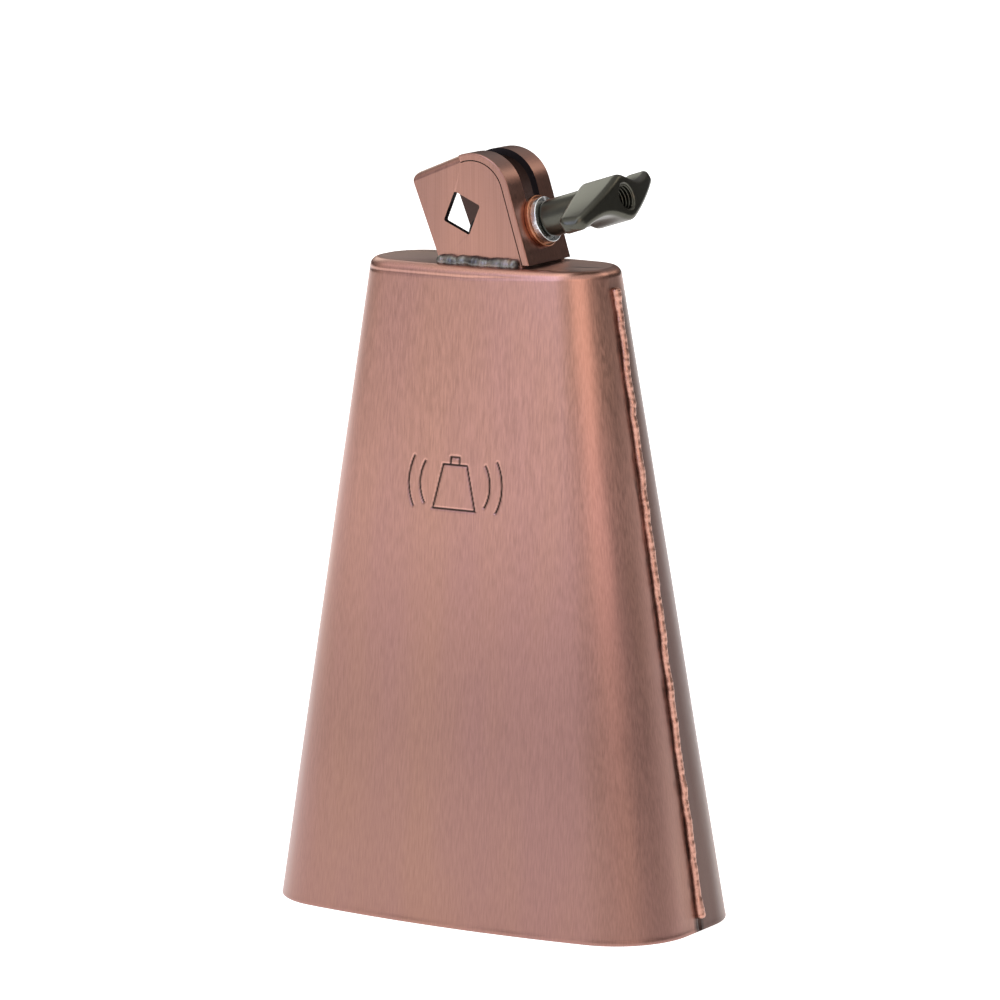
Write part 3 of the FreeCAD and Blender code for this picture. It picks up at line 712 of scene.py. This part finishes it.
def outside_of_band(point, normal):
    """True on the outer face of the flange, the crown or the wall, and on the cheeks' left edges."""
    from_crown = Vector((point.x, 0, point.z)) - crown_centre
    if (point - top_middle).dot(flange_up) > flange_height - face_reach and normal.dot(flange_up) > 0.2:
        return True
    if (point - top_middle).dot(bolt_line) > wall_face - face_reach and normal.dot(bolt_line) > 0.2:
        return True
    outermost = from_crown.length > crown_radius - face_reach and normal.dot(from_crown) > 0
    if outermost and abs(normal.y) < 0.8:
        return True
    on_cheek = abs(point.y) > bracket_half_depth - bracket_sheet - 0.05 * MM
    return normal.x < -0.6 and point.x < -8 * MM and on_cheek


bracket_copper = brushed_copper("antique_copper_plate_on_bracket", "#9E7567", "#8C695F", "#2A1E1A",
                                (fine_line, fine_line, 40 * MM), 0.33, (0, 0.35, 0), False)
# Nearly black: partly the patina left where the brush never reached, partly painted shade of the
# bracket's enclosed inside and hole walls.
black_patina_and_painted_shade, tree = new_material("black_copper_patina")
place = add(tree, "ShaderNodeTexCoord").outputs["Object"]
mottle = add(tree, "ShaderNodeTexNoise", {"Vector": place, "Scale": 1 / (3 * MM), "Detail": 4.0})
patina_mix = add(tree, "ShaderNodeMix", {0: mottle, 6: colour("#121116"), 7: colour("#2A2123")},
                 data_type="RGBA")
patina_surface = add(tree, "ShaderNodeBsdfPrincipled",
                     {"Base Color": patina_mix.outputs[2], "Metallic": 0.7, "Roughness": 0.42})
add(tree, "ShaderNodeOutputMaterial", {"Surface": patina_surface})
brown_copper = brushed_copper("unbrushed_brown_copper_plate", "#4C3832", "#3C2C28", "#2A1E1A",
                              (3 * MM, 3 * MM, 3 * MM), 0.42, (0, 0, 0), False)
bracket.data.materials.clear()
bracket.data.materials.append(bracket_copper)
bracket.data.materials.append(black_patina_and_painted_shade)
bracket.data.materials.append(brown_copper)
# Faces the brush missed get the nearly black material, which is partly painted shade; faces across the
# slot's inside get the unbrushed brown.
for face in bracket.data.polygons:
    inside = 2 * slot_half < abs(face.center.y) < bracket_half_depth - face_reach
    unbrushed = 2 if inside and abs(face.normal.y) > 0.9 else 1
    face.material_index = 0 if is_brushed(face.center, face.normal) else unbrushed
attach(bracket, "bell")
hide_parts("bracket")


# ---- Bracket welds ----
# The foot of each cheek is welded to the bell's top after plating, in one short run of bare weld:
# rippled grey steel with faint heat colours.
bare_weld, tree = new_material("bare_steel_weld_heat_tinted")
place = add(tree, "ShaderNodeTexCoord").outputs["Object"]
tint_noise = add(tree, "ShaderNodeTexNoise", {"Vector": place, "Scale": 1 / (4.5 * MM), "Detail": 3.0})
ramp = add(tree, "ShaderNodeValToRGB", {"Fac": tint_noise})
ramp.color_ramp.elements[0].position = 0.34
ramp.color_ramp.elements[0].color = colour("#2C2B30")
ramp.color_ramp.elements[1].position = 0.68
ramp.color_ramp.elements[1].color = colour("#85796A")
for position, tint in ((0.45, "#5E5C5B"), (0.52, "#72716C"), (0.6, "#7A7270")):
    ramp.color_ramp.elements.new(position).color = colour(tint)
weld_noise = add(tree, "ShaderNodeTexNoise", {"Vector": place, "Scale": 1 / (1.1 * MM), "Detail": 4.0})
weld_bump = add(tree, "ShaderNodeBump", {"Height": weld_noise, "Strength": 0.6, "Distance": 0.2 * MM})
weld_surface = add(tree, "ShaderNodeBsdfPrincipled",
                   {"Base Color": ramp, "Metallic": 1.0, "Roughness": 0.36, "Normal": weld_bump})
add(tree, "ShaderNodeOutputMaterial", {"Surface": weld_surface})
weld_out = 0.55 * MM        # from the cheek's outer face to the middle of the run
weld_rise = 0.75 * MM       # from the bell's top up to it
weld_end = 0.6 * MM
weld_under = 1.0 * MM       # how far the weld reaches in under the cheek
for number, (node_name, side) in enumerate((("bracket_weld_front", -1), ("bracket_weld_rear", 1))):
    weld_low, weld_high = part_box(node_name)
    run_y = side * (bracket_half_depth + weld_out)
    run_z = bell_height + weld_rise
    inner_y = side * (bracket_half_depth - weld_under)
    outer_y = side * max(abs(weld_low.y), abs(weld_high.y))
    bead = from_tree(node_name + "_bead", weld_bead, Start=(weld_low.x + weld_end, run_y, run_z),
                     End=(weld_high.x - weld_end, run_y, run_z), Radius=2.2 * MM,
                     Ripple_Spacing=4.3 * MM, Ripple_Depth=0.04, Unevenness=0.4, End_Swell=0.0,
                     Waver=2.2 * MM, Lowest=(weld_low.x, min(inner_y, outer_y), bell_height - 0.5 * MM),
                     Highest=(weld_high.x, max(inner_y, outer_y), weld_high.z),
                     Seed=11.0 + number, Material=bare_weld)
    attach(bead, "bell")
    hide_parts(node_name)


# ---- Eyebolt ----
# A forged steel bolt with a round eye for the rod, blackened in oil: an even black with a soft sheen.
eyebolt = softened("eyebolt", "eyebolt_forging", 0.2 * MM, 2, math.radians(35))
shade_broken_edges(eyebolt, 40)
black_oxide, tree = new_material("black_oxide_on_forged_steel")
place = add(tree, "ShaderNodeTexCoord").outputs["Object"]
scale_marks = add(tree, "ShaderNodeTexNoise", {"Vector": place, "Scale": 1 / (1.5 * MM), "Detail": 4.0})
oxide_rough = add(tree, "ShaderNodeMapRange", {"Value": scale_marks, 3: 0.3, 4: 0.5})
oxide_mix = add(tree, "ShaderNodeMix", {0: scale_marks, 6: colour("#0C0C0D"), 7: colour("#242326")},
                data_type="RGBA")
oxide = add(tree, "ShaderNodeBsdfPrincipled",
            {"Base Color": oxide_mix.outputs[2], "Metallic": 0.6, "Roughness": oxide_rough})
add(tree, "ShaderNodeOutputMaterial", {"Surface": oxide})
eyebolt.data.materials.clear()
eyebolt.data.materials.append(black_oxide)
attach(eyebolt, "eyebolt")
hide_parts("eyebolt")


# ---- Washers ----
# A flat washer, stamped from steel and bright copper plated, lies on the wall. A split spring
# washer, zinc plated, lies on it and keeps the nut tight.


def plated_washer(node_name, piece_name, material_name, light, deep, roughness):
    """A stamped ring with broken edges, its plating faintly clouded by handling."""
    washer = softened(node_name, piece_name, 0.18 * MM, 2, math.radians(35))
    shade_broken_edges(washer, 35)
    material, tree = new_material(material_name)
    place = add(tree, "ShaderNodeTexCoord").outputs["Object"]
    marks = add(tree, "ShaderNodeTexNoise", {"Vector": place, "Scale": 1 / (0.9 * MM), "Detail": 3.0})
    mixed = add(tree, "ShaderNodeMix", {0: marks, 6: colour(light), 7: colour(deep)}, data_type="RGBA")
    surface = add(tree, "ShaderNodeBsdfPrincipled",
                  {"Base Color": mixed.outputs[2], "Metallic": 1.0, "Roughness": roughness})
    add(tree, "ShaderNodeOutputMaterial", {"Surface": surface})
    washer.data.materials.clear()
    washer.data.materials.append(material)
    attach(washer, "clamp")
    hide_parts(node_name)


plated_washer("flat_washer", "flat_washer_ring", "bright_copper_plate", "#C88A68", "#8F5C45", 0.28)
plated_washer("lock_washer", "lock_washer_ring", "bright_zinc_plate", "#E4E8EA", "#B9C0C4", 0.26)


# ---- Wing nut ----
# Die-cast zinc with two swept wings on a round shank, tapped through for the bolt and plated satin
# black nickel. Each wing is flat on its driving side and hollow on the other, with soft cast edges.
nut_joint = next(joint for joint in frame["joints"] if joint["name"] == "wing_turn")
out_line = -Vector(nut_joint["axis"])
washer_stack = 3.8 * MM
nut_seat = Vector(nut_joint["pos_m"]) + out_line * washer_stack
wing_turn = math.radians(25.5)
shank_radius = 6.15 * MM
shank_round = 1.3 * MM
nut_length = 31.2 * MM
wing_span = 25.2 * MM
wing_back = (16.0 * MM, 19.2 * MM)      # from the washer to the wings' back, at the hub and at the tips
wing_front = (nut_length, 26.6 * MM)    # and to their front
hub_radius = 7.8 * MM
wing_flare = 0.4 * MM                   # how much further out the driving side is at the tips
tip_slope = 0.55 * MM
hollow_depth = 11.2 * MM
hollow_start = 8.2 * MM
hollow_steepness = 2.6
tip_round = 3.0 * MM
edge_radius = 1.7 * MM
bore_radius = 4.15 * MM
countersink = 0.55 * MM
thread_pitch = 1.25 * MM
thread_ridge = 0.4 * MM     # radius of the rounded ridge that stands for the thread
thread_sunk = 0.1 * MM
thread_inset = 0.5 * MM     # from the washer to the first turn
thread_length = nut_length - 1.2 * MM
ring_steps = 72


def rounded_ring(back, front, low, high_back, high_front, radius):
    """Rounded four-sided section (x, z); its high side may slope from back to front."""
    corners = [(back, low), (front, low), (front, high_front), (back, high_back)]
    points = []
    for k, (x, z) in enumerate(corners):
        centre_x = x + (radius if x == back else -radius)
        centre_z = z + (radius if k < 2 else -radius)
        start = math.pi + k * math.pi / 2
        for step in range(8):
            angle = start + step * math.pi / 14
            points.append((centre_x + radius * math.cos(angle), centre_z + radius * math.sin(angle)))
    return points


def wing_ring(span):
    """Section across a wing at a distance along the span: negative is the near wing."""
    share = abs(span) / wing_span
    back = wing_back[0] + (wing_back[1] - wing_back[0]) * share ** 1.5
    front = wing_front[0] + (wing_front[1] - wing_front[0]) * share ** 1.7
    hollow = -hub_radius + hollow_depth * (1 - 1 / (1 + (abs(span) / hollow_start) ** hollow_steepness))
    outer = hub_radius + wing_flare * share
    slope = tip_slope * share
    over = max(0.0, abs(span) - (wing_span - tip_round)) / tip_round
    inset = tip_round * (1 - math.sqrt(max(0.0, 1 - over ** 2))) * 0.95
    radius = max(0.1 * MM, edge_radius - 0.7 * inset)
    ring = rounded_ring(back + inset, front - inset, hollow + inset, outer + slope - inset,
                        outer - slope - inset, radius)
    turned = 1 if span < 0 else -1
    return [(x, span, turned * z) for x, z in ring][::turned]


def closed_tube(name, rings):
    """Closed mesh through rings of equal length, with a face at each end."""
    count = len(rings[0])
    points = [point for ring in rings for point in ring]
    faces = [tuple(range(count)), tuple(range(len(points) - count, len(points)))]
    for level in range(len(rings) - 1):
        for i in range(count):
            j = (i + 1) % count
            faces.append((level * count + i, level * count + j, (level + 1) * count + j,
                          (level + 1) * count + i))
    piece = new_piece(name, points, faces)
    mesh = bmesh.new()
    mesh.from_mesh(piece.data)
    bmesh.ops.recalc_face_normals(mesh, faces=mesh.faces)
    mesh.to_mesh(piece.data)
    mesh.free()
    return piece


def turned_ring(x, radius):
    """Circle of points about the X axis."""
    angles = [k * math.pi / (ring_steps / 2) for k in range(ring_steps)]
    return [(x, radius * math.cos(angle), radius * math.sin(angle)) for angle in angles]


def match_corners(rings):
    """Turns each ring's start so that it lies nearest to the start of the ring before it."""
    matched = [rings[0]]
    for ring in rings[1:]:
        first = Vector(matched[-1][0])
        start = min(range(len(ring)), key=lambda k: (Vector(ring[k]) - first).length)
        matched.append(ring[start:] + ring[:start])
    return matched


wing_rings = [wing_ring(span) for span in np.linspace(-wing_span, wing_span, 128)]
nut = closed_tube("wing_nut_casting", match_corners(wing_rings))
shank_rings = []
for degrees in (0, 15, 30, 45, 60, 75, 90):
    bend = math.radians(degrees)
    radius = shank_radius - shank_round + shank_round * math.sin(bend)
    shank_rings.append(turned_ring(shank_round * (1 - math.cos(bend)), radius))
shank_rings.append(turned_ring(nut_length - 2 * MM, shank_radius))
shank = closed_tube("shank", shank_rings)
joined = bmesh.new()
joined.from_mesh(nut.data)
joined.from_mesh(shank.data)
joined.to_mesh(nut.data)
joined.free()
bpy.data.objects.remove(shank)
cast = nut.modifiers.new("one_casting", "REMESH")
cast.mode = "VOXEL"
cast.voxel_size = 0.30 * MM
cast.use_smooth_shade = True
eased = nut.modifiers.new("eased_edges", "SMOOTH")
eased.factor = 0.5
eased.iterations = 5
finish_modifiers(nut)
drill = closed_tube("drill", [turned_ring(-1 * MM, bore_radius),
                              turned_ring(nut_length - countersink, bore_radius),
                              turned_ring(nut_length + countersink, bore_radius + 2 * countersink)])
cut = nut.modifiers.new("tapping_hole", "BOOLEAN")
cut.operation = "DIFFERENCE"
cut.solver = "EXACT"
cut.object = drill
finish_modifiers(nut)
bpy.data.objects.remove(drill)
lift_line = out_line.cross(Vector((0, 1, 0)))
span_line = Vector((0, 1, 0)) * math.cos(wing_turn) + lift_line * math.sin(wing_turn)
nut_place = Matrix((out_line, span_line, out_line.cross(span_line))).transposed().to_4x4()
nut_place.translation = nut_seat
nut.data.transform(nut_place)


def thread_tree():
    """Geometry Nodes tree of a thread: one ridge wound evenly along X from the origin."""
    tree = bpy.data.node_groups.new("wound_thread", "GeometryNodeTree")
    for name, kind in (("Turns", "NodeSocketFloat"), ("Radius", "NodeSocketFloat"),
                       ("Length", "NodeSocketFloat"), ("Ridge", "NodeSocketFloat"),
                       ("Material", "NodeSocketMaterial")):
        tree.interface.new_socket(name, in_out="INPUT", socket_type=kind)
    tree.interface.new_socket("Geometry", in_out="OUTPUT", socket_type="NodeSocketGeometry")
    given = add(tree, "NodeGroupInput").outputs
    helix = add(tree, "GeometryNodeCurveSpiral", {"Resolution": 40, "Rotations": given["Turns"],
                                                  "Start Radius": given["Radius"],
                                                  "End Radius": given["Radius"],
                                                  "Height": given["Length"]})
    ridge = add(tree, "GeometryNodeCurvePrimitiveCircle", {"Resolution": 6, "Radius": given["Ridge"]})
    rod = add(tree, "GeometryNodeCurveToMesh",
              {"Curve": helix, "Profile Curve": ridge, "Fill Caps": True})
    laid = add(tree, "GeometryNodeTransform", {"Geometry": rod, "Rotation": (0, math.pi / 2, 0)})
    real = add(tree, "GeometryNodeRealizeInstances", {"Geometry": laid})
    painted = add(tree, "GeometryNodeSetMaterial", {"Geometry": real, "Material": given["Material"]})
    add(tree, "NodeGroupOutput", {"Geometry": painted})
    return tree


black_nickel, tree = new_material("satin_black_nickel_on_zinc_casting")
place = add(tree, "ShaderNodeTexCoord").outputs["Object"]
orange_peel = add(tree, "ShaderNodeTexNoise", {"Vector": place, "Scale": 1 / (2.2 * MM), "Detail": 3.0})
nickel_mix = add(tree, "ShaderNodeMix", {0: orange_peel, 6: colour("#484841"), 7: colour("#52524A")},
                 data_type="RGBA")
peel_bump = add(tree, "ShaderNodeBump",
                {"Height": orange_peel, "Strength": 0.12, "Distance": 0.08 * MM})
nickel = add(tree, "ShaderNodeBsdfPrincipled", {"Base Color": nickel_mix.outputs[2], "Metallic": 1.0,
                                                "Roughness": 0.31, "Normal": peel_bump})
add(tree, "ShaderNodeOutputMaterial", {"Surface": nickel})
nut.data.materials.clear()
nut.data.materials.append(black_nickel)
thread = from_tree("wing_nut_thread", thread_tree(), Turns=thread_length / thread_pitch,
                   Radius=bore_radius - thread_sunk, Length=thread_length, Ridge=thread_ridge,
                   Material=black_nickel)
thread.data.transform(nut_place @ Matrix.Translation((thread_inset, 0, 0)))
for piece in (nut, thread):
    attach(piece, "wing_nut")
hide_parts("wing_nut")
